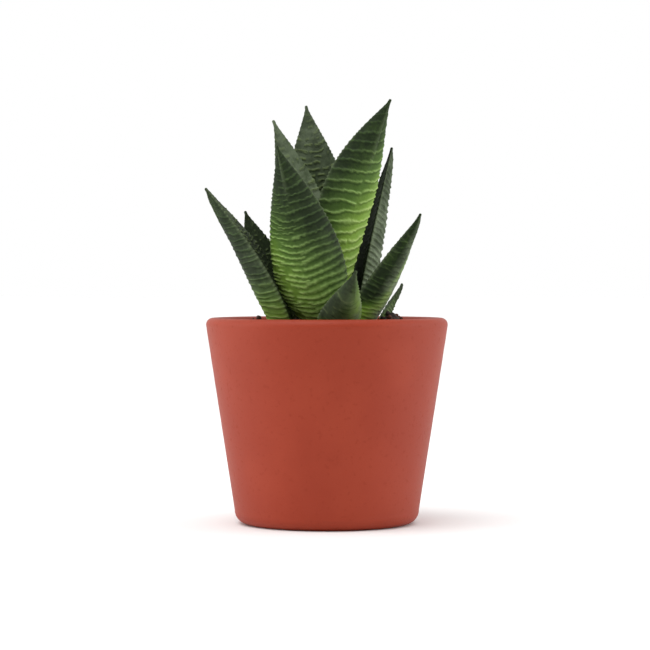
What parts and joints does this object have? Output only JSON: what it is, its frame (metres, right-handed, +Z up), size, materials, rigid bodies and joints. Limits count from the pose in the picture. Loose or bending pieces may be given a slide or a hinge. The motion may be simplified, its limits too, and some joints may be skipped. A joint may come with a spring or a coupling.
{
  "type": "potted haworthia",
  "caption": "Small potted haworthia: a rosette of tapering, keeled succulent leaves on a short rooted stem, planted in soil in a plain tapered clay pot with a rounded rim.",
  "frame": {"origin": "on the pot's axis, on the plane that the foot ring stands on, under the middle of the whole object's box", "axes": "+Z up along the pot's axis, +X to the right and -Y towards a viewer facing the front of the plant"},
  "size_m": [0.076, 0.076, 0.1326],
  "materials": {
    "pot_clay": "smooth matt terracotta red",
    "potting_soil": null,
    "stem_skin": "pale dry plant stem and roots",
    "leaf_skin": null
  },
  "bodies": {
    "root": {"pot": "pot_clay", "soil": "potting_soil", "stem": "stem_skin", "leaf_front_big": "leaf_skin", "leaf_right_tall": "leaf_skin", "leaf_rear_left": "leaf_skin", "leaf_rear_tall": "leaf_skin", "leaf_left_long": "leaf_skin", "leaf_left_small": "leaf_skin", "leaf_right_narrow": "leaf_skin", "leaf_front_right": "leaf_skin", "leaf_front_short": "leaf_skin", "leaf_right_tiny": "leaf_skin", "leaf_back_right": "leaf_skin", "leaf_back_left": "leaf_skin", "leaf_back_low": "leaf_skin", "leaf_heart": "leaf_skin"}
  },
  "joints": []
}
